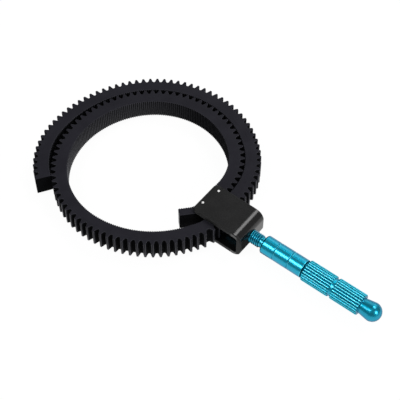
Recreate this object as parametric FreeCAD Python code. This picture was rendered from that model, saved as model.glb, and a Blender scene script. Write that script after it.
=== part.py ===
"""Follow focus unit: a toothed belt wound twice round a lens, a buckle and a screw lever.

Origin on the lens axis at mid width of the belt. +Z is the lens axis, +X points along the
lever. All lengths are in millimetres and all angles in degrees.
"""
import FreeCAD
import Part
import math
import os

Vector = FreeCAD.Vector
ALONG_BELT = Vector(0, 1, 0)
UP = Vector(0, 0, 1)
NEAR = 1e-6                 # two values this close are the same

# Belt section. The teeth are those of a rack of this module.
MODULE = 0.8
PRESSURE_ANGLE = 20.0
DEDENDUM = 1.1 * MODULE
TOOTH_PITCH = math.pi * MODULE
ROOT_HOLLOW = 0.06          # how far the groove floor dips between two teeth
BELT_WIDTH = 8.0
BELT_THICKNESS = 6.0        # smooth inner face to tooth tips
NEUTRAL_DEPTH = 2.0         # inner face to the line that keeps its length in a bend

# Tongue: the belt's first end, pared to a thin strip and bent inwards out of the buckle.
TONGUE_THICKNESS = 3.1
TONGUE_TIP_RUN = 4.2
TONGUE_BEND_RADIUS = 4.4    # of the inner face
TONGUE_BEND_ANGLE = 42.7
TONGUE_BEND_Y = -3.05       # where the bend leaves the straight run in the buckle
FIRST_TOOTH_Y = -2.38       # the teeth start here, inside the buckle

# Route of the belt's inner face, anticlockwise from the buckle.
LAYER_X = 25.2              # lens axis to the inner face of the first layer
EXIT_Y = 8.95               # straight run out of the buckle ends here
LOOP_RADII = (19.6, 28.3, 32.5, 28.6)
LOOP_ANGLES = (45.8, 94.7, 56.1, 75.0)
ENTRY_BEND_RADIUS = 6.0
ENTRY_BEND_ANGLE = 31.0
ENTRY_BEND_Y = -6.6         # the bend into the buckle ends here
BUCKLE_LAYER_GAP = 0.15     # between the two layers inside the buckle
LOOP_LAYER_GAP = 0.12       # between the two layers round the ring
TAIL_FLAT_EXTRA = 3.2       # added radius where the tail stands off the inner layer
TAIL_FLAT_ANGLE = 48.7
TAIL_CURL_LESS = 12.3       # radius taken off where the tail curls back
TAIL_CURL_ANGLE = 51.0

# Buckle: a channel of D section, open towards the lens.
BUCKLE_LENGTH = 14.2        # along the belt
BUCKLE_LIP_SETBACK = 0.7    # the belt stands this far proud of the channel's lips
BELT_SIDE_CLEARANCE = 0.25  # belt edge to channel plate
PLATE_THICKNESS = 1.6
END_WALL = 1.7
TAKE_UP = 8.5               # free depth between the second layer and the end wall
OUTER_CORNER_RADIUS = 3.6
INNER_CORNER_RADIUS = 1.1
LIP_CORNER_RADIUS = 1.5
EDGE_CHAMFER = 0.25

# Pins that hold the tongue end of the belt in the buckle.
PIN_DIAMETER = 1.0
PIN_BELT_CLEARANCE = 0.03
PIN_PLACES = ((2.2, -2.6), (3.5, 5.0))      # (depth from the belt's inner face, y)

# Clamping screw, M5 coarse, with a neck between its thread and the lever.
THREAD_DIAMETER = 5.0
THREAD_CLEARANCE = 0.05
SCREW_TIP_GAP = 0.1         # screw tip to the tooth tips it presses on
SCREW_TIP_CHAMFER = 0.5
SCREW_NECK_DIAMETER = 4.2
SCREW_NECK_LENGTH = 1.4     # thread's end to the lever's shoulder
EXPOSED_SCREW = 5.6         # buckle to the lever's shoulder
SOCKET_DEPTH = 6.0          # screw inside the lever

# Lever, stations from its shoulder.
BARREL_DIAMETER = 7.0
BARREL_LENGTH = 17.3
SHOULDER_CHAMFER = 0.5
RING_GROOVES = (5.45, 11.55)
RING_GROOVE_WIDTH = 0.5
RING_GROOVE_DEPTH = 0.2
COLLAR_GROOVE_WIDTH = 0.6
COLLAR_GROOVE_DEPTH = 0.45
GRIP_DIAMETER = 8.0
GRIP_LENGTHS = (11.0, 10.9)
GRIP_CHAMFER = 0.3
GRIP_NECK_LENGTH = 1.05
GRIP_NECK_DIAMETER = 7.0
FLUTES = 24
FLUTE_DEPTH = 0.32
TIP_NECK_DIAMETER = 5.8
TIP_NECK_LENGTH = 0.3
TIP_CONE_LENGTH = 3.8
BALL_DIAMETER = 7.0

TOOTH_DEPTH = MODULE + DEDENDUM
BASE_THICKNESS = BELT_THICKNESS - TOOTH_DEPTH
FLANK_SLOPE = math.tan(math.radians(PRESSURE_ANGLE))
TOOTH_TIP_HALF = TOOTH_PITCH / 4 - MODULE * FLANK_SLOPE
TOOTH_ROOT_HALF = TOOTH_PITCH / 4 + DEDENDUM * FLANK_SLOPE
SECOND_LAYER_X = LAYER_X + BELT_THICKNESS + BUCKLE_LAYER_GAP
TIPS_X = SECOND_LAYER_X + BELT_THICKNESS
LIP_X = LAYER_X + BUCKLE_LIP_SETBACK
END_WALL_X = TIPS_X + TAKE_UP
BUCKLE_END_X = END_WALL_X + END_WALL
CHANNEL_HALF = BELT_WIDTH / 2 + BELT_SIDE_CLEARANCE
BUCKLE_HALF = CHANNEL_HALF + PLATE_THICKNESS
SHOULDER_X = BUCKLE_END_X + EXPOSED_SCREW


class Route:
    """The belt's inner face in plan: straight runs and tangent arcs, laid end to end."""

    def __init__(self, x, y, heading):
        self.x, self.y, self.heading = x, y, heading
        self.length = 0.0
        self.spans = []

    def arc(self, radius, angle):
        """Turn left about a centre on the lens side."""
        self._add(radius, angle, math.radians(angle) * (radius + NEUTRAL_DEPTH))
        turned = math.radians(self.heading + angle)
        now = math.radians(self.heading)
        self.x += radius * (math.sin(turned) - math.sin(now))
        self.y -= radius * (math.cos(turned) - math.cos(now))
        self.heading += angle
        return self

    def run(self, length):
        self._add(None, 0.0, length)
        self.x += length * math.cos(math.radians(self.heading))
        self.y += length * math.sin(math.radians(self.heading))
        return self

    def _add(self, radius, angle, length):
        self.spans.append((self.length, length, self.x, self.y, self.heading, radius, angle))
        self.length += length

    def place(self, along, offset):
        """Point at a length along the neutral line, offset outwards from the inner face."""
        for span in self.spans:
            if along <= span[0] + span[1]:
                break
        return self._on_span(span, (along - span[0]) / span[1], offset)

    @staticmethod
    def _on_span(span, share, offset):
        length, x, y, heading, radius, angle = span[1:]
        now = math.radians(heading)
        then = math.radians(heading + angle * share)
        if radius is None:
            x += length * share * math.cos(now)
            y += length * share * math.sin(now)
        else:
            x += radius * (math.sin(then) - math.sin(now))
            y -= radius * (math.cos(then) - math.cos(now))
        return Vector(x + offset * math.sin(then), y - offset * math.cos(then), 0), then

    def pieces(self, offset, start, end):
        """(first, middle, last) points of each span between two lengths, at one offset."""
        found = []
        for span in self.spans:
            low = max(0.0, (start - span[0]) / span[1])
            high = min(1.0, (end - span[0]) / span[1])
            if high - low > NEAR:
                shares = (low, (low + high) / 2, high)
                first, middle, last = (self._on_span(span, share, offset)[0] for share in shares)
                found.append((first, None if span[5] is None else middle, last))
        return found


def closing_pieces(route, corner_x, corner_y):
    """Radius of the last arc and length of the run that bring the loop to the entry bend."""
    arrival = 90.0 - ENTRY_BEND_ANGLE
    now = math.radians(route.heading - 360.0)
    then = math.radians(arrival)
    bend = ENTRY_BEND_RADIUS
    goal_x = corner_x - bend * (1 - math.sin(then))
    goal_y = corner_y - bend * math.cos(then)
    arc_x, arc_y = math.sin(then) - math.sin(now), math.cos(now) - math.cos(then)
    run_x, run_y = math.cos(then), math.sin(then)
    gap_x, gap_y = goal_x - route.x, goal_y - route.y
    scale = arc_x * run_y - arc_y * run_x
    radius = (gap_x * run_y - gap_y * run_x) / scale
    run = (arc_x * gap_y - arc_y * gap_x) / scale
    return radius, math.degrees(then - now), run


def belt_route():
    """Tongue, buckle, inner layer, buckle again, outer layer and tail."""
    bend = TONGUE_BEND_RADIUS
    start = math.radians(90.0 - TONGUE_BEND_ANGLE)
    x = LAYER_X - bend * (1 - math.sin(start)) - TONGUE_TIP_RUN * math.cos(start)
    y = TONGUE_BEND_Y - bend * math.cos(start) - TONGUE_TIP_RUN * math.sin(start)
    route = Route(x, y, 90.0 - TONGUE_BEND_ANGLE)
    route.run(TONGUE_TIP_RUN).arc(bend, TONGUE_BEND_ANGLE)
    first_tooth = route.length + FIRST_TOOTH_Y - TONGUE_BEND_Y
    route.run(EXIT_Y - TONGUE_BEND_Y)
    for radius, angle in zip(LOOP_RADII, LOOP_ANGLES):
        route.arc(radius, angle)
    radius, angle, run = closing_pieces(route, SECOND_LAYER_X, ENTRY_BEND_Y)
    route.heading -= 360.0
    route.arc(radius, angle).run(run).arc(ENTRY_BEND_RADIUS, ENTRY_BEND_ANGLE)
    route.run(EXIT_Y - ENTRY_BEND_Y)
    lift = BELT_THICKNESS + LOOP_LAYER_GAP
    for radius, angle in zip(LOOP_RADII[:2], LOOP_ANGLES):
        route.arc(radius + lift, angle)
    tail = LOOP_RADII[2] + lift
    route.arc(tail + TAIL_FLAT_EXTRA, TAIL_FLAT_ANGLE).arc(tail - TAIL_CURL_LESS, TAIL_CURL_ANGLE)
    return route, first_tooth


def tooth(route, along):
    """Four corners of one rack tooth, square to the belt at its own station."""
    foot, heading = route.place(along, 0.0)
    ahead = Vector(math.cos(heading), math.sin(heading), 0)
    out = Vector(math.sin(heading), -math.cos(heading), 0)
    corners = (
        (-TOOTH_ROOT_HALF, BASE_THICKNESS),
        (-TOOTH_TIP_HALF, BELT_THICKNESS),
        (TOOTH_TIP_HALF, BELT_THICKNESS),
        (TOOTH_ROOT_HALF, BASE_THICKNESS),
    )
    return [foot + ahead * u + out * v for u, v in corners], out


def line_or_arc(first, middle, last):
    if middle is None:
        return Part.makeLine(first, last)
    return Part.Arc(first, middle, last).toShape()


def belt_outline():
    """Closed outline of the belt in plan, in order along the outside and back inside."""
    route, first_tooth = belt_route()
    teeth = int((route.length - first_tooth) / TOOTH_PITCH)
    edges = []
    tongue = route.pieces(TONGUE_THICKNESS, 0.0, first_tooth - TOOTH_PITCH / 2)
    for first, middle, last in tongue:
        edges.append(line_or_arc(first, middle, last))
    here = tongue[-1][2]
    for number in range(teeth):
        corners, out = tooth(route, first_tooth + number * TOOTH_PITCH)
        if number:
            floor = (here + corners[0]) * 0.5 - out * ROOT_HOLLOW
            edges.append(Part.Arc(here, floor, corners[0]).toShape())
        else:
            edges.append(Part.makeLine(here, corners[0]))
        for first, last in zip(corners, corners[1:]):
            edges.append(Part.makeLine(first, last))
        here = corners[-1]
    cut = first_tooth + (teeth - 1) * TOOTH_PITCH + TOOTH_ROOT_HALF
    end = route.place(cut, 0.0)[0]
    edges.append(Part.makeLine(here, end))
    for first, middle, last in reversed(route.pieces(0.0, 0.0, cut)):
        edges.append(line_or_arc(last, middle, first))
    edges.append(Part.makeLine(route.place(0.0, 0.0)[0], tongue[0][0]))
    return edges


def pin_axes():
    return [Vector(LAYER_X + depth, y, 0) for depth, y in PIN_PLACES]


def upright(radius, centre, half):
    return Part.makeCylinder(radius, 2 * half, centre - Vector(0, 0, half))


def gear_belt():
    """One strip: plan outline with every tooth, raised to the belt's width, pinned at the tongue."""
    face = Part.Face(Part.Wire(belt_outline()))
    belt = face.extrude(Vector(0, 0, BELT_WIDTH))
    belt.translate(Vector(0, 0, -BELT_WIDTH / 2))
    radius = PIN_DIAMETER / 2 + PIN_BELT_CLEARANCE
    return belt.cut([upright(radius, axis, BELT_WIDTH) for axis in pin_axes()])


def buckle():
    """Channel of D section along the belt, drilled for the pins and tapped for the screw."""
    depth = BUCKLE_END_X - LIP_X
    outside = Part.makeBox(depth, BUCKLE_LENGTH, 2 * BUCKLE_HALF)
    outside.translate(Vector(LIP_X, -BUCKLE_LENGTH / 2, -BUCKLE_HALF))
    outside = outside.makeFillet(OUTER_CORNER_RADIUS, edges_at(outside, BUCKLE_END_X, ALONG_BELT))
    outside = outside.makeFillet(LIP_CORNER_RADIUS, edges_at(outside, LIP_X, UP))
    outside = outside.makeChamfer(EDGE_CHAMFER, edges_at(outside, BUCKLE_END_X, UP))
    channel = Part.makeBox(depth - END_WALL, 2 * BUCKLE_LENGTH, 2 * CHANNEL_HALF)
    channel.translate(Vector(LIP_X, -BUCKLE_LENGTH, -CHANNEL_HALF))
    channel = channel.makeFillet(INNER_CORNER_RADIUS, edges_at(channel, END_WALL_X, ALONG_BELT))
    holes = [upright(PIN_DIAMETER / 2, axis, 2 * BUCKLE_HALF) for axis in pin_axes()]
    holes.append(Part.makeCylinder(
        THREAD_DIAMETER / 2 + THREAD_CLEARANCE, 3 * END_WALL,
        Vector(END_WALL_X - END_WALL, 0, 0), Vector(1, 0, 0)))
    return outside.cut([channel, *holes])


def edges_at(shape, x, direction):
    """Straight edges of a block that lie at one x and run one way."""
    found = []
    for edge in shape.Edges:
        across = edge.tangentAt(edge.FirstParameter).cross(direction).Length
        if across < NEAR and abs(edge.BoundBox.Center.x - x) < NEAR:
            found.append(edge)
    return found


def belt_pins():
    """Two press-fitted pins, plate to plate through the belt, flush outside."""
    pins = [upright(PIN_DIAMETER / 2, axis, BUCKLE_HALF) for axis in pin_axes()]
    return Part.makeCompound(pins)


def turned(points, start_x):
    """Solid of revolution about the lever's axis from (station, radius) points."""
    line = [Vector(start_x + station, radius, 0) for station, radius in points]
    line = [Vector(line[0].x, 0, 0)] + line + [Vector(line[-1].x, 0, 0)]
    wire = Part.makePolygon(line + [line[0]])
    return Part.Face(wire).revolve(Vector(), Vector(1, 0, 0), 360)


def clamp_screw():
    """Threaded end of the lever, from its tip on the belt to the bottom of the lever's socket."""
    tip_x = TIPS_X + SCREW_TIP_GAP
    thread_end = SHOULDER_X - SCREW_NECK_LENGTH - tip_x
    length = SHOULDER_X + SOCKET_DEPTH - tip_x
    radius = THREAD_DIAMETER / 2
    neck = SCREW_NECK_DIAMETER / 2
    points = (
        (0.0, radius - SCREW_TIP_CHAMFER),
        (SCREW_TIP_CHAMFER, radius),
        (thread_end, radius),
        (thread_end, neck),
        (length, neck),
    )
    return turned(points, tip_x)


def grooved_barrel():
    """Barrel with a chamfered shoulder and two shallow ring grooves."""
    radius = BARREL_DIAMETER / 2
    floor = radius - RING_GROOVE_DEPTH
    points = [(0.0, radius - SHOULDER_CHAMFER), (SHOULDER_CHAMFER, radius)]
    for station in RING_GROOVES:
        half = RING_GROOVE_WIDTH / 2
        points += [(station - half, radius), (station, floor), (station + half, radius)]
    points += [(BARREL_LENGTH, radius)]
    return turned(points, SHOULDER_X)


def fluted_grip(start, length):
    """Straight V flutes all round, faded out by the chamfers at both ends."""
    radius = GRIP_DIAMETER / 2
    ring = []
    for number in range(2 * FLUTES):
        angle = math.pi * number / FLUTES
        reach = radius - FLUTE_DEPTH * (number % 2)
        ring.append(Vector(SHOULDER_X + start, reach * math.cos(angle), reach * math.sin(angle)))
    star = Part.Face(Part.makePolygon(ring + [ring[0]])).extrude(Vector(length, 0, 0))
    ends = radius - GRIP_CHAMFER
    points = (
        (start, ends), (start + GRIP_CHAMFER, radius),
        (start + length - GRIP_CHAMFER, radius), (start + length, ends),
    )
    return star.common(turned(points, SHOULDER_X))


def ball_end(start):
    """Short neck, then a cone that widens into a hemisphere."""
    ball = BALL_DIAMETER / 2
    neck = TIP_NECK_DIAMETER / 2
    foot = start + TIP_NECK_LENGTH
    cone = turned(((start, neck), (foot, neck), (foot + TIP_CONE_LENGTH, ball)), SHOULDER_X)
    centre = Vector(SHOULDER_X + foot + TIP_CONE_LENGTH, 0, 0)
    dome = Part.makeSphere(ball, centre, Vector(1, 0, 0), 0, 90, 360)
    return cone.fuse(dome)


def lever():
    """One turned handle: barrel, two fluted grips and a ball end, bored for the screw."""
    barrel_end = BARREL_LENGTH
    first_grip = barrel_end + COLLAR_GROOVE_WIDTH
    neck = first_grip + GRIP_LENGTHS[0]
    second_grip = neck + GRIP_NECK_LENGTH
    tip = second_grip + GRIP_LENGTHS[1]
    collar = BARREL_DIAMETER / 2 - COLLAR_GROOVE_DEPTH
    joins = (
        turned(((barrel_end, collar), (first_grip, collar)), SHOULDER_X),
        turned(((neck, GRIP_NECK_DIAMETER / 2), (second_grip, GRIP_NECK_DIAMETER / 2)), SHOULDER_X),
    )
    pieces = [fluted_grip(first_grip, GRIP_LENGTHS[0]), fluted_grip(second_grip, GRIP_LENGTHS[1])]
    body = grooved_barrel().fuse([*joins, *pieces, ball_end(tip)])
    socket = Part.makeCylinder(
        SCREW_NECK_DIAMETER / 2 + THREAD_CLEARANCE, SOCKET_DEPTH + THREAD_CLEARANCE,
        Vector(SHOULDER_X, 0, 0), Vector(1, 0, 0))
    return body.cut(socket)


NODES = {
    "gear_belt": gear_belt,
    "buckle": buckle,
    "belt_pins": belt_pins,
    "clamp_screw": clamp_screw,
    "lever": lever,
}

os.makedirs("parts", exist_ok=True)
for name, make in NODES.items():
    shape = make()
    shape.exportStep("parts/" + name + ".step")
    print(name, "solids", len(shape.Solids), "volume", round(shape.Volume, 2), "valid", shape.isValid())
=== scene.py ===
import math

import bpy
import numpy as np
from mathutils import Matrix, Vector


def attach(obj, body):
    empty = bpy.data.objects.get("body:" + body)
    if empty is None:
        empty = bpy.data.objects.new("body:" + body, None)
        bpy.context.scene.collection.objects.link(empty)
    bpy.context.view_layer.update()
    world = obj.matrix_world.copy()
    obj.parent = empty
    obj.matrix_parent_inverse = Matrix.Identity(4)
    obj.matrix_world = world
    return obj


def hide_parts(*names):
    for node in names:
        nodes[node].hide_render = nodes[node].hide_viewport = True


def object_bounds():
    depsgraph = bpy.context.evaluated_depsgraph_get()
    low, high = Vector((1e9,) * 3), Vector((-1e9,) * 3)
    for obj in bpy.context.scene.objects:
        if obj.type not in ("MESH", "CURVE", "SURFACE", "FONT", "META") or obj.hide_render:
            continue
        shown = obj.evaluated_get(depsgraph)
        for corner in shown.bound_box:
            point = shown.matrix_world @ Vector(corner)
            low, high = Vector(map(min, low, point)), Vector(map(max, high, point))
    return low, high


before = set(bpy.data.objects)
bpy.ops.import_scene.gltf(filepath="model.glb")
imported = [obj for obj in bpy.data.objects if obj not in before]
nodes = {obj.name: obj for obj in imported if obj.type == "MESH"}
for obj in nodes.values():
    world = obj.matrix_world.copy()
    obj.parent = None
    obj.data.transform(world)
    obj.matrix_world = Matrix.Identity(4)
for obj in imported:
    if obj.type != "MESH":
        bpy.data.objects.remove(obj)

cad_low, cad_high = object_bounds()
scene = bpy.context.scene
scene.view_settings.view_transform = "Standard"

# ---------------------------------------------------------------------------------------------
# Table top: a pale seamless sheet. The buckle's lower plate stands on it and holds the ring up.
# It shows white to the camera and to reflections, and keeps a faint shadow of the part.
# ---------------------------------------------------------------------------------------------
MM = 0.001
HALF_TABLE = 3.0
WHITE = (1.0, 1.0, 1.0, 1.0)
TABLE_PALE, TABLE_GREY, TABLE_DARK = (0.8, 0.8, 0.8, 1.0), (0.3, 0.3, 0.31, 1.0), (0.02, 0.02, 0.02, 1.0)
TABLE_GLOW = 1.04           # makes up for the lit part of the mix, which is less than white
GLOW_SHARE = 0.92           # of what the camera sees; the rest is lit and takes the shadow
# Close shade where little light gets to the table: a strip under the screw, and a spot under
# the slit between the two turns of the belt near the tail.
SCREW_SHADE_HALF = 5.5 * MM
SCREW_SHADE_FROM, SCREW_SHADE_TO = 46.0 * MM, 57.0 * MM
SLIT_CENTRE, SLIT_RADIUS = (-32.8 * MM, -18.6 * MM), 4.2 * MM
SHADE_STRENGTH = 0.95


class Sock:
    """A value in a material, either a socket or a number, that the usual operators work on."""

    def __init__(self, tree, value):
        self.tree, self.value = tree, value

    def feed(self, socket):
        """Link this value into a socket, or set it there when it is a plain number or colour."""
        if isinstance(self.value, bpy.types.NodeSocket):
            self.tree.links.new(self.value, socket)
        else:
            socket.default_value = self.value

    def node(self, kind, settings=None, out=0, **inputs):
        """Any node by its type. Settings come first, then sockets, by name with _ for a space
        or by number, as i0, i1 and so on."""
        made = self.tree.nodes.new(kind)
        for key, value in (settings or {}).items():
            setattr(made, key, value)
        for key, value in inputs.items():
            by_number = key[0] == "i" and key[1:].isdigit()
            socket = int(key[1:]) if by_number else key.replace("_", " ")
            wrapped = value if isinstance(value, Sock) else Sock(self.tree, value)
            wrapped.feed(made.inputs[socket])
        return Sock(self.tree, made.outputs[out])

    def math(self, operation, *values):
        """A Math node's operation on this value and any others."""
        inputs = {"i%d" % i: value for i, value in enumerate((self, *values))}
        return self.node("ShaderNodeMath", {"operation": operation}, **inputs)

    def __add__(self, other):
        return self.math("ADD", other)

    def __sub__(self, other):
        return self.math("SUBTRACT", other)

    def __mul__(self, other):
        return self.math("MULTIPLY", other)

    def __truediv__(self, other):
        return self.math("DIVIDE", other)

    def __rsub__(self, other):
        return Sock(self.tree, other).math("SUBTRACT", self)

    __radd__, __rmul__ = __add__, __mul__

    def clamp(self):
        """The value held between 0 and 1."""
        return self.math("MINIMUM", 1.0).math("MAXIMUM", 0.0)


def ramp(value, edge, slope):
    """0 up to the edge and then rising to 1 by the slope for each unit past it. With a minus
    slope it rises the other way and is 0 past the edge: (value - edge) * slope, held in 0 to 1."""
    return ((value - edge) * slope).clamp()


def axis_of(place, axis):
    """One coordinate of a place or a direction."""
    return place.node("ShaderNodeSeparateXYZ", out=axis, Vector=place)


def distance(x, y, centre):
    """How far (x, y) lies from a centre: the root of the two differences' squares added up."""
    across, along = x - centre[0], y - centre[1]
    return (across * across + along * along).math("SQRT")


def new_material(name):
    """An empty material with its output, and a Sock to build the rest from."""
    material = bpy.data.materials.new(name)
    material.use_nodes = True
    material.node_tree.nodes.clear()
    material.node_tree.nodes.new("ShaderNodeOutputMaterial")
    return material, Sock(material.node_tree, 0.0)


def finish_material(material, shader):
    """Link the finished shader to the material's surface."""
    shader.feed(material.node_tree.nodes["Material Output"].inputs["Surface"])


def plain_mesh(name, verts, faces):
    """A mesh object at the origin from lists of corners and faces, in metres."""
    mesh = bpy.data.meshes.new(name)
    mesh.from_pydata(verts, [], faces)
    made = bpy.data.objects.new(name, mesh)
    scene.collection.objects.link(made)
    return made


signs = ((-1, -1), (1, -1), (1, 1), (-1, 1))
corners = [(x * HALF_TABLE, y * HALF_TABLE, cad_low.z) for x, y in signs]
table_top = plain_mesh("table_top", corners, [(0, 1, 2, 3)])
material, s = new_material("pale_table")
seen = s.node("ShaderNodeLightPath", out="Is Camera Ray")
glossy = s.node("ShaderNodeLightPath", out="Is Glossy Ray")
through = s.node("ShaderNodeLightPath", out="Is Transmission Ray")
pale = s.node("ShaderNodeBsdfDiffuse", Color=TABLE_PALE)
grey = s.node("ShaderNodeBsdfDiffuse", Color=TABLE_GREY)
lit = s.node("ShaderNodeMixShader", i0=seen, i1=grey, i2=pale)
place = s.node("ShaderNodeTexCoord", out="Object")
x = axis_of(place, "X")
y = axis_of(place, "Y")
# The strip under the screw shows only in the buckle's reflection.
under_screw = ramp(y.math("ABSOLUTE"), SCREW_SHADE_HALF, -500.0)
under_screw = under_screw * ramp(x, SCREW_SHADE_FROM, 1000.0) * ramp(x, SCREW_SHADE_TO, -500.0)
under_slit = ramp(distance(x, y, SLIT_CENTRE), SLIT_RADIUS, -700.0)
shaded = ((under_screw * glossy + under_slit) * SHADE_STRENGTH).clamp()
glow = s.node("ShaderNodeEmission", Color=WHITE, Strength=TABLE_GLOW)
dark = s.node("ShaderNodeBsdfDiffuse", Color=TABLE_DARK)
glow = s.node("ShaderNodeMixShader", i0=shaded, i1=glow, i2=dark)
share = (seen * GLOW_SHARE + glossy + through).clamp()
finish_material(material, s.node("ShaderNodeMixShader", i0=share, i1=lit, i2=glow))
table_top.data.materials.append(material)

# ---------------------------------------------------------------------------------------------
# Camera: a long lens high above the near side of the lever, aimed into the ring close to the
# buckle.
# ---------------------------------------------------------------------------------------------
AIM = Vector((0.023212, 0.001039, 0.0))
CAMERA_AZIMUTH, CAMERA_ELEVATION = math.radians(38.116), math.radians(53.48)
CAMERA_DISTANCE = 0.39689
FOCAL_PIXELS = 1089.0
IMAGE_SIDE = 400
SENSOR_WIDTH = 36.0
camera = bpy.data.objects.new("camera", bpy.data.cameras.new("camera"))
scene.collection.objects.link(camera)
scene.camera = camera
back = Vector((
    math.sin(CAMERA_AZIMUTH) * math.cos(CAMERA_ELEVATION),
    -math.cos(CAMERA_AZIMUTH) * math.cos(CAMERA_ELEVATION),
    math.sin(CAMERA_ELEVATION)))
camera.location = AIM + back * CAMERA_DISTANCE
camera.rotation_mode = "QUATERNION"
camera.rotation_quaternion = (-back).to_track_quat("-Z", "Y")
camera.data.sensor_width = SENSOR_WIDTH
camera.data.lens = SENSOR_WIDTH * FOCAL_PIXELS / IMAGE_SIDE
camera.data.clip_start, camera.data.clip_end = 0.01, 20.0

# ---------------------------------------------------------------------------------------------
# Studio: three soft boxes, in front on the left, on the right, and above and behind. Round them
# a weak even light brightens to a soft wall behind and on the left and fades at the far left,
# and in its place the camera sees plain white.
# ---------------------------------------------------------------------------------------------
EVEN_LIGHT, WALL_LIGHT = 0.32, 1.1
WALL_FOOT, WALL_TOP = 0.05, 0.75        # upward part of the direction to the wall
LAMP_REACH = 0.8                        # scales the lamps' places from the middle of the part
SOFT_BOXES = (
    ("left_front", (-0.25, -0.52, 0.82), (0.24, 0.30), 1.8),
    ("right_side", (0.86, -0.05, 0.51), (0.22, 0.30), 1.8),
    ("behind_top", (0.10, 0.50, 0.86), (0.36, 0.24), 1.5))

world = bpy.data.worlds.new("studio")
scene.world = world
world.use_nodes = True
world.node_tree.nodes.clear()
world.node_tree.nodes.new("ShaderNodeOutputWorld")
s = Sock(world.node_tree, 0.0)
seen = s.node("ShaderNodeLightPath", out="Is Camera Ray")
way = s.node("ShaderNodeTexCoord", out="Generated")
rightward = axis_of(way, "X")
backward = axis_of(way, "Y")
upward = axis_of(way, "Z")
wall = ramp(upward, WALL_TOP, -6.0) * ramp(upward, WALL_FOOT, 3.0)
wall = wall * ramp(backward, -0.15, 2.5) * ramp(rightward, 0.35, -2.5)
light = (wall * WALL_LIGHT + EVEN_LIGHT) * ramp(rightward, -0.85, 2.0)
surround = s.node("ShaderNodeBackground", Color=WHITE, Strength=light)
plain_white = s.node("ShaderNodeBackground", Color=WHITE, Strength=1.0)
shader = s.node("ShaderNodeMixShader", i0=seen, i1=surround, i2=plain_white)
shader.feed(world.node_tree.nodes["World Output"].inputs["Surface"])

for name, towards, size, power in SOFT_BOXES:
    lamp = bpy.data.lights.new(name, "AREA")
    lamp.shape, lamp.energy = "RECTANGLE", power
    lamp.size, lamp.size_y = size
    soft_box = bpy.data.objects.new(name, lamp)
    soft_box.location = AIM + Vector(towards) * LAMP_REACH
    soft_box.rotation_mode = "QUATERNION"
    soft_box.rotation_quaternion = (-Vector(towards)).to_track_quat("-Z", "Y")
    scene.collection.objects.link(soft_box)

# ---------------------------------------------------------------------------------------------
# Gear belt: one strip moulded in satin black rubber, rack teeth outside and fine ribs across
# its inner face. Its pared tongue is pinned in the buckle; it goes round twice to a free tail.
# ---------------------------------------------------------------------------------------------
MODULE = 0.8
PITCH = math.pi * MODULE
ADDENDUM, DEDENDUM = MODULE, 1.1 * MODULE
FLANK_SLOPE = math.tan(math.radians(20.0))
BELT_HALF, BELT_THICK, TONGUE_THICK = 4.0, 6.0, 3.1
NEUTRAL = 2.0               # inner face to the line that keeps its length in a bend
TEETH = 142
TAIL_CUT = 1.25             # from the middle of the last tooth, which is left broad, to the cut
RIBS_PER_TOOTH, RIB_HEIGHT, RIB_SHAPE = 3, 0.3, 0.6     # a lower shape gives broader ribs
EDGE_ROUND = 0.16
EDGE_MIDDLE = 0.29 * EDGE_ROUND         # inset and drop half-way round the rounded edge
TIP_HALF = PITCH / 4 - ADDENDUM * FLANK_SLOPE
ROOT_HALF = PITCH / 4 + DEDENDUM * FLANK_SLOPE
FLOOR = BELT_THICK - ADDENDUM - DEDENDUM
CREST_ROUND = (0.11, 0.036)             # reach of the crest's rounding on the tip and the flank
FOOT_ROUND = (0.08, 0.15)               # reach of the foot's rounding on the flank and the floor
FLOOR_HOLLOW = (0.04, 0.06)             # how far the floor dips, at its side and in its middle
# Route of the inner face in plan, anticlockwise from the tongue's tip. A bend is its inner radius
# and its angle in degrees. Inside the buckle both turns run straight along Y.
LAYER_X, LAYER_GAP = 25.2, 0.15         # first turn from the lens axis, and the second from the first
EXIT_Y, ENTRY_Y = 8.95, -6.6            # where a straight run ends and where the second one starts
TONGUE_RUN, TONGUE_BEND = 4.2, (4.4, 42.7)
TONGUE_Y, FIRST_TOOTH_Y = -3.05, -2.38  # where the tongue's bend leaves the buckle's line; first tooth
LOOP = ((19.6, 45.8), (28.3, 94.7), (32.5, 56.1), (28.6, 75.0))
ENTRY_BEND = (6.0, 31.0)
TURN_LIFT = BELT_THICK + 0.12           # the outer turn follows the first two bends this far out
TAIL = ((41.82, 48.7), (25.9, 51.0))    # then it stands off, and curls back to the first turn
TONGUE_LENGTH = TONGUE_RUN + math.radians(TONGUE_BEND[1]) * (TONGUE_BEND[0] + NEUTRAL)
FIRST_TOOTH = TONGUE_LENGTH + FIRST_TOOTH_Y - TONGUE_Y      # length along the belt to its middle
# Painted highlights. The outer turn covers the teeth up to 144 mm along the belt, and these get none.
COVERED_TO, BARED_OVER = 144.0, 4.0
CORNER_HIGHLIGHT, CORNER_WIDTH, EDGE_HIGHLIGHT = 0.9, 0.10, 0.35
LIT_END = 1.6            # length of the tail's end whose outer side gets the painted highlight all over
LAND_MARGIN, LAND_LIGHT = 0.02, 0.3     # the tips' flat lands get a little less painted shade than the flanks
RIB_HIGHLIGHT = 1.7
# The inner face's painted shade at lengths along the belt: darkest beside the tongue and in
# the outer turn, lightest on the far side of the ring.
INNER_SHADE_AT = (45, 60, 90, 120, 135, 150, 200, 215)
INNER_SHADE_LEVEL = (1.0, 0.95, 0.7, 0.6, 0.4, 0.7, 0.7, 1.0)
# The third colour is painted shade on the upright faces, the fourth a painted highlight.
RUBBER_DARK, RUBBER_GREY = (0.0165, 0.016, 0.0215), (0.0265, 0.0258, 0.034)
RUBBER_SHADED, RUBBER_HIGHLIGHT = (0.001, 0.001, 0.0015), (0.155, 0.155, 0.18)


def bend_step(radius, before, after):
    """Step in plan that a bend makes from one heading to another: its radius times the change
    of (sin, -cos) of the heading."""
    return radius * np.stack([np.sin(after) - np.sin(before), np.cos(before) - np.cos(after)], -1)


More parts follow.
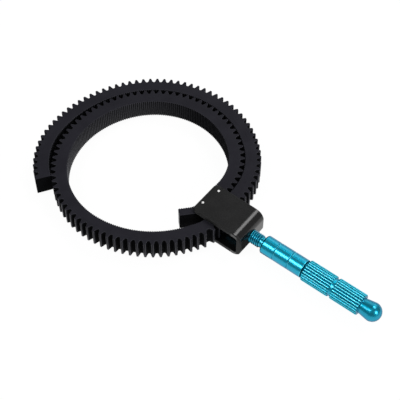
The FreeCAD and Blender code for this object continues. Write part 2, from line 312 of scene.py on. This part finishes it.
def run_step(length, heading):
    """Step in plan that a straight run makes: its length times (cos, sin) of the heading."""
    return np.multiply.outer(length, (math.cos(heading), math.sin(heading)))


def belt_route():
    """Start, first heading and all spans of the belt: bends as (inner radius, angle), straight
    runs as (None, length). The last bend before the buckle and the run after it close the loop:
    the bend's radius and the run's length are those that make up the step which is left."""
    along_buckle, full_turn = math.radians(90.0), math.radians(360.0)
    first_heading = along_buckle - math.radians(TONGUE_BEND[1])
    start = np.array((LAYER_X, TONGUE_Y)) - bend_step(TONGUE_BEND[0], first_heading, along_buckle)
    start = start - run_step(TONGUE_RUN, first_heading)
    here, heading = np.array((LAYER_X, EXIT_Y)), along_buckle
    for radius, angle in LOOP:
        after = heading + math.radians(angle)
        here, heading = here + bend_step(radius, heading, after), after
    arrival = along_buckle + full_turn - math.radians(ENTRY_BEND[1])
    entry = np.array((LAYER_X + BELT_THICK + LAYER_GAP, ENTRY_Y))
    left = entry - bend_step(ENTRY_BEND[0], arrival, along_buckle) - here
    steps = np.column_stack([bend_step(1.0, heading, arrival), run_step(1.0, arrival)])
    radius, length = np.linalg.solve(steps, left)
    first_turn = [(None, TONGUE_RUN), TONGUE_BEND, (None, EXIT_Y - TONGUE_Y), *LOOP]
    closing = [(radius, math.degrees(arrival - heading)), (None, length), ENTRY_BEND]
    lifted = [(radius + TURN_LIFT, angle) for radius, angle in LOOP[:2]]
    outer_turn = [(None, EXIT_Y - ENTRY_Y), *lifted, *TAIL]
    return start, first_heading, first_turn + closing + outer_turn


def belt_line(along):
    """Place of the inner face, heading and outward direction at lengths along the belt. In a
    bend the heading grows by the length over the neutral line's radius, about a centre on the
    lens side."""
    here, heading, spans = belt_route()
    line, facing = np.zeros((len(along), 2)), np.zeros(len(along))
    for radius, amount in spans:
        length = amount if radius is None else math.radians(amount) * (radius + NEUTRAL)
        far = np.append(along, length)
        if radius is None:
            turn, gone = np.full(len(far), heading), run_step(far, heading)
        else:
            turn = heading + far / (radius + NEUTRAL)
            gone = bend_step(radius, heading, turn)
        begun = along >= 0.0
        line[begun], facing[begun] = (here + gone[:-1])[begun], turn[:-1][begun]
        here, heading = here + gone[-1], turn[-1]
        along = along - length
    ahead = np.column_stack([np.cos(facing), np.sin(facing)])
    outward = np.column_stack([np.sin(facing), -np.cos(facing)])
    return line, ahead, outward


def tooth_profile():
    """Half a tooth and half a gap, as (distance from the tooth's middle, height): flat tip,
    rounded crest, 20 degree flank, rounded foot and hollow floor. Crest and foot are parabolas
    that touch the lines before and after them. The points within the tip and the flank lie on
    their straight lines."""
    def on_flank(across):
        return np.array((across, BELT_THICK - (across - TIP_HALF) / FLANK_SLOPE))

    def rounded(corner, before, after):
        t = np.linspace(0.0, 1.0, 4)[:, None]
        return (1 - t) ** 2 * before + 2 * t * (1 - t) * np.array(corner) + t ** 2 * after

    on_tip = np.array((TIP_HALF - CREST_ROUND[0], BELT_THICK))
    on_floor = np.array((ROOT_HALF + FOOT_ROUND[1], FLOOR - FLOOR_HOLLOW[0]))
    tip = [(0.0, BELT_THICK), (0.12, BELT_THICK)]
    crest = rounded((TIP_HALF, BELT_THICK), on_tip, on_flank(TIP_HALF + CREST_ROUND[1]))
    flank = [on_flank(TIP_HALF + 0.19), on_flank(TIP_HALF + 0.37)]
    foot = rounded((ROOT_HALF, FLOOR), on_flank(ROOT_HALF - FOOT_ROUND[0]), on_floor)
    return np.vstack([tip, crest, flank, foot, [(PITCH / 2, FLOOR - FLOOR_HOLLOW[1])]])


def surface(name, verts, faces, attributes):
    """A smooth mesh object from an array in millimetres, with named values at its vertices."""
    made = plain_mesh(name, (verts * MM).tolist(), faces)
    made.data.shade_smooth()
    for key, values in attributes.items():
        made.data.attributes.new(key, "FLOAT", "POINT").data.foreach_set("value", np.ravel(values))
    return made


def tube_faces(rows, columns):
    """Quads between rings of vertices, closed round each ring, and a face over either end."""
    ring = np.arange(columns)
    start = (np.arange(rows - 1) * columns)[:, None]
    after = (ring + 1) % columns
    quads = np.stack([start + ring, start + after, start + columns + after, start + columns + ring], -1)
    ends = [list(range(columns))[::-1], list(range((rows - 1) * columns, rows * columns))]
    return quads.reshape(-1, 4).tolist() + ends


def colour_mix(mask, first, second):
    """Colour that goes from the first to the second as the mask goes from 0 to 1."""
    colours = [c if isinstance(c, Sock) else Sock(mask.tree, (*c, 1.0)) for c in (first, second)]
    settings = {"data_type": "RGBA"}
    return mask.node("ShaderNodeMix", settings, out=2, i0=mask, i6=colours[0], i7=colours[1])


def noise(place, scale, detail):
    """A cloudy value round about 0.5, finer as the scale grows."""
    return place.node("ShaderNodeTexNoise", Vector=place, Scale=scale, Detail=detail)


def kept_value(s, name):
    """A value that a piece keeps at its vertices."""
    return s.node("ShaderNodeAttribute", {"attribute_name": name}, out="Fac")


def dress(node, material):
    """Give a node of the frame one material in place of its own."""
    mesh = nodes[node].data
    mesh.materials.clear()
    mesh.materials.append(material)


# One pitch of the outer line from gap to gap, with the direction into the rubber at each point.
half = tooth_profile()
profile = np.vstack([half[::-1] * (-1, 1), half[1:-1]])
points = len(profile)
slope = np.gradient(np.vstack([profile, half[-1:]]), axis=0)[:-1]
slope[0] = (1, 0)
into = np.column_stack([slope[:, 1], -slope[:, 0]]) / np.linalg.norm(slope, axis=1, keepdims=True)

# Stations: even ones for the ribbed inner line, the tooth's own points for the outer line. Those
# of the tongue stop just short of the first tooth's.
tongue_along = np.arange(0.0, FIRST_TOOTH - PITCH / 2 - 0.05, PITCH / points)
middle = FIRST_TOOTH + np.repeat(np.arange(TEETH), points) * PITCH
across, height = np.tile(profile.T, TEETH)
into = np.tile(into, (TEETH, 1))
steps = np.tile((np.arange(points) / points - 0.5) * PITCH, TEETH)
broad = (middle == middle[-1]) & (across > 0.0)
height[broad], into[broad] = BELT_THICK, (0.0, -1.0)
cut = middle[-1] + TAIL_CUT
kept = middle + across < cut
middle, across, height, into, steps = (row[kept] for row in (middle, across, height, into, steps))
inner_along = np.concatenate([tongue_along, middle + steps, [cut]])
base, _, out = belt_line(inner_along)
rib = 0.5 + 0.5 * np.cos(2 * math.pi * RIBS_PER_TOOTH * (inner_along - FIRST_TOOTH) / PITCH)
inner = base + out * (RIB_HEIGHT * (1 - rib ** RIB_SHAPE))[:, None]

# Outer line: a tooth stands square to the belt at its own middle, a gap's floor follows the belt.
foot, along_tooth, out_tooth = belt_line(middle)
rigid = foot + along_tooth * across[:, None] + out_tooth * height[:, None]
under, _, out_gap = belt_line(middle + across)
bent = under + out_gap * height[:, None]
share = np.clip((abs(across) - ROOT_HALF) / (PITCH / 2 - ROOT_HALF), 0.0, 1.0)[:, None]
tongue = slice(0, len(tongue_along))
on_teeth = slice(len(tongue_along), -1)
outer = np.vstack([
    base[tongue] + out[tongue] * TONGUE_THICK,
    rigid * (1 - share) + bent * share,
    base[-1:] + out[-1:] * BELT_THICK])
inward = np.vstack([-out[tongue], along_tooth * into[:, :1] + out_tooth * into[:, 1:], -out[-1:]])

# Painted highlights: lighter lines on the teeth's corners, the broad last tooth and the crests of
# the ribs, weakest where the inner face's painted shade is strongest.
bare = np.clip((inner_along - COVERED_TO) / BARED_OVER, 0.0, 1.0)
corner = np.zeros(len(outer))
corner[on_teeth] = CORNER_HIGHLIGHT * np.exp(-((abs(across) - TIP_HALF + LAND_MARGIN) / CORNER_WIDTH) ** 2)
corner *= bare
corner[inner_along > cut - LIT_END] = CORNER_HIGHLIGHT
land = np.zeros(len(outer))
land[on_teeth] = abs(across) < TIP_HALF + LAND_MARGIN
land *= bare
inner_shading = np.interp(inner_along, INNER_SHADE_AT, INNER_SHADE_LEVEL)
rib_highlights = RIB_HIGHLIGHT * (1.1 - inner_shading) * rib ** 6
outer_shade = 1.0 - LAND_LIGHT * land
inner_shade = np.minimum(1.0, inner_shading + 0.08)

# Section rings: bottom and top of the outer line, then top and bottom of the inner line, each
# with three points round its edge. The upright faces have painted highlights and painted shade,
# and the middle of each rounded edge has a faint painted highlight.
rounding = ((EDGE_ROUND, 0.0), (EDGE_MIDDLE, EDGE_MIDDLE), (0.0, EDGE_ROUND))
rings, painted_highlights, depth, upright_shade = [], [], [], []
for side, line, aside in ((-1, outer, inward), (1, outer, inward), (1, inner, out), (-1, inner, out)):
    is_outer = line is outer
    highlight_lines, shade = (corner, outer_shade) if is_outer else (rib_highlights, inner_shade)
    for below, inset in rounding[:: 1 if (side > 0) == is_outer else -1]:
        plan = line + aside * inset
        rings.append(np.column_stack([plan, np.full(len(plan), side * (BELT_HALF - below))]))
        depth.append(np.einsum("ij,ij->i", plan - base, out))
        painted_highlights.append(EDGE_HIGHLIGHT * (inset == EDGE_MIDDLE) + highlight_lines * (inset == 0.0))
        upright_shade.append(shade * (inset == 0.0))
        # The cut end of the tail gets full painted shade and no painted highlight.
        painted_highlights[-1][-1], upright_shade[-1][-1] = 0.0, 1.0
belt = surface("belt", np.stack(rings, 1).reshape(-1, 3), tube_faces(len(inner), len(rings)), {
    "along": np.repeat(inner_along, len(rings)),
    "depth": np.stack(depth, 1),
    "edge": np.stack(painted_highlights, 1),
    "upright_shade": np.stack(upright_shade, 1)})
# The upper and lower faces, between the outer and the inner line, are flat, and so are both ends.
column = np.arange(len(belt.data.polygons)) % len(rings)
flat_faces = np.isin(column, (len(rings) // 2 - 1, len(rings) - 1))
flat_faces[-2:] = True
belt.data.polygons.foreach_set("use_smooth", ~flat_faces)
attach(belt, "ring")
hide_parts("gear_belt")

material, s = new_material("belt_rubber")
along = kept_value(s, "along")
deep = kept_value(s, "depth")
edge = kept_value(s, "edge")
painted_shade_mask = kept_value(s, "upright_shade")
place = s.node("ShaderNodeTexCoord", out="Object")
grain = noise(place, 2600.0, 3.0)
cloud = noise(place, 160.0, 4.0)
# Streaks of the moulding: long along the belt, fine through its thickness.
drawn = s.node("ShaderNodeCombineXYZ", X=along * 0.06, Y=deep * 5.0)
streak = noise(drawn, 1.0, 3.0)
tone = (cloud - 0.35) * 1.2 + (streak - 0.5) * 0.8
colour = colour_mix(tone.clamp(), RUBBER_DARK, RUBBER_GREY)
# Painted shade on the upright faces, then painted highlights on edges, teeth and ribs.
colour = colour_mix(painted_shade_mask * 0.95, colour, RUBBER_SHADED)
colour = colour_mix(edge * 0.6, colour, RUBBER_HIGHLIGHT)
rough = 0.26 + cloud * 0.10 + grain * 0.06 + ramp(painted_shade_mask, 0.8, 5.0) * 0.62
bump = s.node("ShaderNodeBump", Strength=0.25, Distance=0.02 * MM, Height=grain + streak * 0.5)
finish_material(material, s.node(
    "ShaderNodeBsdfPrincipled", Base_Color=colour, Roughness=rough, Specular_IOR_Level=0.08, Normal=bump))
belt.data.materials.append(material)
dress("gear_belt", material)

# ---------------------------------------------------------------------------------------------
# Buckle: a channel of D section milled from aluminium and anodised black, open at both ends
# and towards the lens, with a fine satin grain from blasting.
# ---------------------------------------------------------------------------------------------
BLACK_DEEP, BLACK_BLASTED = (0.002, 0.002, 0.0022), (0.011, 0.011, 0.0112)
# The cut ends are left matt: beyond PLATE_END to either side on the plates, up to PLATE_TO
# forward, and beyond WALL_END on the near side of the wall, from WALL_FROM forward.
PLATE_END, PLATE_TO = 6.8 * MM, 43.5 * MM
WALL_END, WALL_FROM = 6.2 * MM, 45.5 * MM
material, s = new_material("black_anodised")
place = s.node("ShaderNodeTexCoord", out="Object")
grain = noise(place, 3200.0, 4.0)
cloud = noise(place, 220.0, 3.0)
speck = ramp(grain, 0.55, 6.0)
aside = axis_of(place, "Y")
forward = axis_of(place, "X")
plate_ends = ramp(aside.math("ABSOLUTE"), PLATE_END, 20000.0) * ramp(forward, PLATE_TO, -2000.0)
wall_end = ramp(aside, -WALL_END, -3000.0) * ramp(forward, WALL_FROM, 2000.0)
colour = colour_mix((cloud * 0.7 + speck * 0.5).clamp(), BLACK_DEEP, BLACK_BLASTED)
rough = 0.13 + cloud * 0.08 + grain * 0.06 + (plate_ends + wall_end) * 0.6
bump = s.node("ShaderNodeBump", Strength=0.25, Distance=0.02 * MM, Height=grain)
finish_material(material, s.node(
    "ShaderNodeBsdfPrincipled", Base_Color=colour, Roughness=rough, Specular_IOR_Level=0.5, Normal=bump))
dress("buckle", material)

# ---------------------------------------------------------------------------------------------
# Belt pins: two hard steel pins pressed through the buckle and the belt, ends faced flush and
# bright, each in the dark rim of its drilled hole.
# ---------------------------------------------------------------------------------------------
PIN_CENTRES = ((27.4 * MM, -2.6 * MM), (28.7 * MM, 5.0 * MM))
PIN_RADIUS = 0.5 * MM
PIN_BRIGHT, PIN_RIM = (0.95, 0.95, 0.94), (0.05, 0.05, 0.05)
FACING_RINGS = 90000.0      # radians a metre, for the rings that facing leaves
material, s = new_material("pin_steel")
place = s.node("ShaderNodeTexCoord", out="Object")
x = axis_of(place, "X")
y = axis_of(place, "Y")
away = distance(x, y, PIN_CENTRES[0]).math("MINIMUM", distance(x, y, PIN_CENTRES[1]))
rim = ramp(away / PIN_RADIUS, 0.85, 8.0)
turning = (away * FACING_RINGS).math("SINE") * 0.5 + 0.5
grain = noise(place, 5000.0, 2.0)
colour = colour_mix(rim, PIN_BRIGHT, PIN_RIM)
rough = 0.55 + grain * 0.1 + rim * 0.3
bump = s.node("ShaderNodeBump", Strength=0.2, Distance=0.01 * MM, Height=turning + grain)
finish_material(material, s.node(
    "ShaderNodeBsdfPrincipled", Base_Color=colour, Metallic=1.0, Roughness=rough, Normal=bump))
dress("belt_pins", material)

# ---------------------------------------------------------------------------------------------
# Clamping thread: the M5 end of the lever, cut in one with it and anodised the same blue, with
# a relief neck behind the thread. It turns with the lever, so it rides on the handle.
# ---------------------------------------------------------------------------------------------
THREAD_RADIUS, THREAD_PITCH, THREAD_DEPTH = 2.5, 0.8, 0.4
CREST_SHARE, FLANK_SHARE = 0.22, 0.58   # of half the pitch
LEAD_IN = 0.5               # chamfer at the tip
RUN_OUT = 0.4               # length in which the thread would rise 1 mm out of the neck
SCREW_NECK, NECK_RUN = 2.1, 1.4         # radius and length of the relief neck
SCREW_OVERLAP = 0.45        # the neck goes on into the lever, so that no gap shows
STATIONS_PER_TURN, THREAD_SIDES = 12, 48
BLUE_DEEP, BLUE_CLEAR = (0.0, 0.33, 0.50), (0.002, 0.39, 0.56)
BLUE_SHADED, BLUE_HIGHLIGHT = (0.0, 0.02, 0.05), (0.12, 0.85, 1.0)


def start_x(node):
    """Where a node of the frame starts along X, in millimetres."""
    vertices = nodes[node].data.vertices
    places = np.empty(len(vertices) * 3)
    vertices.foreach_get("co", places)
    return places[::3].min() / MM


def about_lever(stations, radii, angle):
    """Points round the lever's axis: (station, radius * cos(angle), radius * sin(angle)). Each
    row of radii belongs to one station along X."""
    x = np.broadcast_to(stations[:, None], radii.shape)
    return np.stack([x, radii * np.cos(angle), radii * np.sin(angle)], -1).reshape(-1, 3)


screw_tip, shoulder = start_x("clamp_screw"), start_x("lever")
thread_end, screw_end = shoulder - NECK_RUN, shoulder + SCREW_OVERLAP
stations = np.arange(screw_tip, screw_end, THREAD_PITCH / STATIONS_PER_TURN)[:, None]
angle = np.linspace(0.0, 2 * math.pi, THREAD_SIDES, endpoint=False)
phase = stations / THREAD_PITCH - angle / (2 * math.pi)
# Depth of the thread: 0 on the crest's flat, 1 in the root, straight 60 degree flanks between.
fall = np.clip((abs(phase % 1.0 - 0.5) * 2 - CREST_SHARE) / FLANK_SHARE, 0.0, 1.0)
lead_in = THREAD_RADIUS - LEAD_IN + (stations - screw_tip)
run_out = SCREW_NECK + np.clip((thread_end - stations) / RUN_OUT, 0.0, 1.0)
radii = np.minimum(THREAD_RADIUS - THREAD_DEPTH * fall, np.minimum(lead_in, run_out))
radii = np.where(stations > thread_end, SCREW_NECK, radii)
verts = about_lever(stations[:, 0], radii, angle)
# Painted shade above 0 and painted highlight below 0: shade in the root, highlight on the crest.
shade = 0.45 * fall - 0.3 * (fall < 0.02)
thread = surface("thread", verts, tube_faces(len(stations), THREAD_SIDES), {"shade": shade})
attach(thread, "handle")
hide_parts("clamp_screw")

material, s = new_material("blue_anodised")
shade = kept_value(s, "shade")
place = s.node("ShaderNodeTexCoord", out="Object")
cloud = noise(place, 300.0, 3.0)
# Turning marks: very fine along the lever and drawn out round it.
around = s.node("ShaderNodeMapping", Vector=place, Scale=(9000.0, 500.0, 500.0))
turning = noise(around, 1.0, 3.0)
painted_shade = shade.clamp()
painted_highlight = (shade * -1.0).clamp()
colour = colour_mix((cloud * 0.5 + turning * 0.4).clamp(), BLUE_DEEP, BLUE_CLEAR)
# Painted shade and painted highlight, from the kept shade value.
colour = colour_mix(painted_shade, colour, BLUE_SHADED)
colour = colour_mix(painted_highlight, colour, BLUE_HIGHLIGHT)
bump = s.node("ShaderNodeBump", Strength=0.1, Distance=0.01 * MM, Height=turning)
finish_material(material, s.node(
    "ShaderNodeBsdfPrincipled", Base_Color=colour, Metallic=1.0, Roughness=0.3 + turning * 0.06,
    Specular_Tint=(0.0, 0.26, 0.37, 1.0), Coat_Weight=0.6 - painted_shade * 0.8, Coat_Roughness=0.1,
    Coat_IOR=1.5, Normal=bump))
thread.data.materials.append(material)
dress("clamp_screw", material)

# ---------------------------------------------------------------------------------------------
# Lever: turned from aluminium bar and anodised blue. Barrel with two ring grooves, two grips
# with straight flutes all round, and a ball end.
# ---------------------------------------------------------------------------------------------
BARREL, COLLAR, GRIP, GRIP_NECK, TIP_NECK, BALL = 3.5, 3.05, 4.0, 3.5, 2.9, 3.5
BARREL_LENGTH, COLLAR_WIDTH, GRIPS, NECK_LENGTH = 17.3, 0.6, (11.0, 10.9), 1.05
BALL_CENTRE = 44.95         # from the shoulder
SHOULDER_ROUND, BARREL_END_ROUND, GRIP_ROUND = 0.55, 0.28, 0.3
RING_GROOVES, GROOVE_HALF, GROOVE_DEPTH = (5.45, 11.55), 0.3, 0.14
FLUTES, FLUTE_DEPTH = 24, 0.32
FLUTE_START = 0.1           # of a flute, from the +Y side round towards +Z
# Half of one flute, from the ridge to its middle, in shares of its width and its depth: narrow
# rounded ridge, steep flank, broad floor a little hollow.
FLUTE_ACROSS = np.array([0.0, 0.046, 0.092, 0.134, 0.172, 0.202, 0.27, 0.346, 0.42, 0.5])
FLUTE_FALL = np.array([0.0, 0.013, 0.053, 0.117, 0.205, 0.30, 0.57, 0.844, 0.97, 1.0])


def rounded_corner(station, radius, turn, start, end, count):
    """(station, radius) points on an arc about a point, from one angle to another: the point
    plus the arc's own radius times (cos, sin)."""
    t = np.radians(np.linspace(start, end, count))
    return np.column_stack([station + turn * np.cos(t), radius + turn * np.sin(t)])


def even_run(start, end, radius_start, radius_end, step):
    """Points along a straight side, with one more close to either end so that the shading of
    the side stays straight."""
    count = max(2, round((end - start) / step))
    close = 0.04 / (end - start)
    share = np.unique(np.concatenate([[close, 1 - close], np.linspace(0, 1, count + 1)]))
    radius = radius_start + share * (radius_end - radius_start)
    return np.column_stack([start + share * (end - start), radius])


def ring_groove(station):
    """A shallow groove with rolled shoulders: a cosine dip in the barrel's radius."""
    x = np.linspace(-1.0, 1.0, 13)
    radius = BARREL - GROOVE_DEPTH / 2 * (1 + np.cos(math.pi * x))
    return np.column_stack([station + GROOVE_HALF * x, radius])


def grip_side(start, length, before, after):
    """(station, radius) points of one grip, from the radius before it to the radius after it,
    with rounded edges."""
    end = start + length
    return np.vstack([
        [(start, before), (start + 0.01, 3.4)],
        rounded_corner(start + GRIP_ROUND, GRIP - GRIP_ROUND, GRIP_ROUND, 180, 90, 5)[1:],
        even_run(start + 0.35, end - 0.35, GRIP, GRIP, 1.3),
        rounded_corner(end - GRIP_ROUND, GRIP - GRIP_ROUND, GRIP_ROUND, 90, 0, 5)[:-1],
        [(end - 0.01, 3.4), (end, after)]])


# Outline from the shoulder to the ball, as (station, radius). Straight sides stop just short of
# the roundings and grooves that they meet.
first_grip = BARREL_LENGTH + COLLAR_WIDTH
neck = first_grip + GRIPS[0]
second_grip = neck + NECK_LENGTH
tip = second_grip + GRIPS[1]
barrel = [
    [(0.0, 1.2), (0.0, 2.6), (0.0, 2.85)],
    rounded_corner(SHOULDER_ROUND, BARREL - SHOULDER_ROUND, SHOULDER_ROUND, 180, 90, 7)]
reached = SHOULDER_ROUND + 0.05
for groove in RING_GROOVES:
    beside = GROOVE_HALF + 0.04
    barrel += [even_run(reached, groove - beside, BARREL, BARREL, 1.0), ring_groove(groove)]
    reached = groove + beside
barrel += [
    even_run(reached, BARREL_LENGTH - BARREL_END_ROUND - 0.04, BARREL, BARREL, 1.0),
    rounded_corner(BARREL_LENGTH - BARREL_END_ROUND, BARREL - BARREL_END_ROUND, BARREL_END_ROUND, 90, 0, 5)]
outline = np.vstack([
    *barrel,
    [(BARREL_LENGTH + 0.01, COLLAR + 0.05), (BARREL_LENGTH + 0.05, COLLAR), (first_grip - 0.05, COLLAR)],
    grip_side(first_grip, GRIPS[0], COLLAR, GRIP_NECK),
    even_run(neck + 0.02, second_grip - 0.02, GRIP_NECK, GRIP_NECK, 0.4),
    grip_side(second_grip, GRIPS[1], GRIP_NECK, TIP_NECK),
    even_run(tip + 0.02, tip + 0.3, TIP_NECK, TIP_NECK, 0.2),
    even_run(tip + 0.34, BALL_CENTRE - 0.04, TIP_NECK, BALL, 0.6),
    rounded_corner(BALL_CENTRE, 0.0, BALL, 90, 3, 16)])

# Flutes: each point of the grips' outline is let in by its share of the flute's depth.
across = np.concatenate([FLUTE_ACROSS, 1 - FLUTE_ACROSS[-2:0:-1]])
fall = np.concatenate([FLUTE_FALL, FLUTE_FALL[-2:0:-1]])
angle = ((np.arange(FLUTES)[:, None] + FLUTE_START + across) * 2 * math.pi / FLUTES).ravel()
fall = np.tile(fall, FLUTES)
station, radius = outline[:, :1], outline[:, 1:]
on_grip = np.zeros(station.shape, bool)
for start, length in zip((first_grip, second_grip), GRIPS):
    on_grip |= (station > start + 0.005) & (station < start + length - 0.005)
deep = np.clip(radius - (GRIP - FLUTE_DEPTH - 0.02), 0.0, FLUTE_DEPTH) * on_grip
radii = radius - deep * fall

# Painted shade above 0: in the flutes, the collar, the shoulder's rim and a little on the
# ball. Painted highlight below 0: on the ridges and at the barrel's end.
floor_shade = 0.7 * np.clip(fall * 2.8 - 0.84, 0.0, 1.0)
ridge_highlight = np.clip(1 - fall * 5, 0.0, 1.0)
shade = (deep > 0.02) * (floor_shade - ridge_highlight)
shade = shade + 0.8 * np.clip(1.0 - (station - 0.42) / 0.16, 0.0, 1.0) + 0.12 * (station > tip - 0.02)
shade = shade + 0.75 * ((station > BARREL_LENGTH - 0.06) & (station < first_grip + 0.04))
shade = shade - 0.5 * ((station > BARREL_LENGTH - 0.3) & (station < BARREL_LENGTH - 0.1))
# Each ring groove has a painted highlight on one lip along the upper side and painted shade below.
upper = np.clip(0.5 + 1.5 * np.cos(angle - math.radians(60.0)), 0.0, 1.0)
for groove in RING_GROOVES:
    shade = shade - 1.2 * upper * (abs(station - groove - 0.24) < 0.12)
    shade = shade + 0.4 * (1.0 - upper) * (abs(station - groove) < 0.12)
verts = about_lever(shoulder + outline[:, 0], radii, angle)
lever = surface("lever_handle", verts, tube_faces(len(outline), len(angle)), {"shade": shade})
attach(lever, "handle")
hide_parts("lever")
lever.data.materials.append(material)
dress("lever", material)
